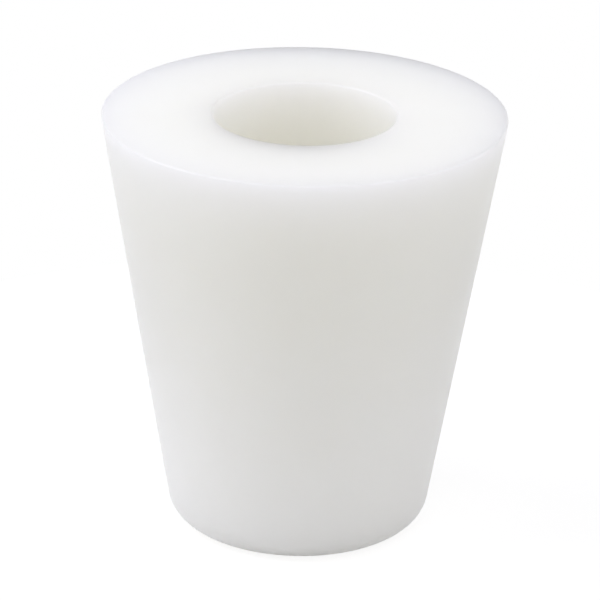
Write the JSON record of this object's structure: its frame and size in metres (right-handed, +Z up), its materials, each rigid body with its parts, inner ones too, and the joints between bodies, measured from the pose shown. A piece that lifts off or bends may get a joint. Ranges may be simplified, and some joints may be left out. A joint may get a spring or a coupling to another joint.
{
  "type": "rubber stopper",
  "caption": "Tapered laboratory stopper in translucent white silicone rubber, with a plain round hole through its middle for a tube, and a rounded foot.",
  "frame": {"origin": "centre of the foot, on the surface that the stopper stands on", "axes": "+Z up along the bore, from the narrow foot to the wide top face; X and Y are any two directions across it, because the part is round"},
  "size_m": [0.0232, 0.0232, 0.025],
  "materials": {
    "silicone": "satin, translucent white"
  },
  "bodies": {
    "root": {"stopper": "silicone"}
  },
  "joints": []
}
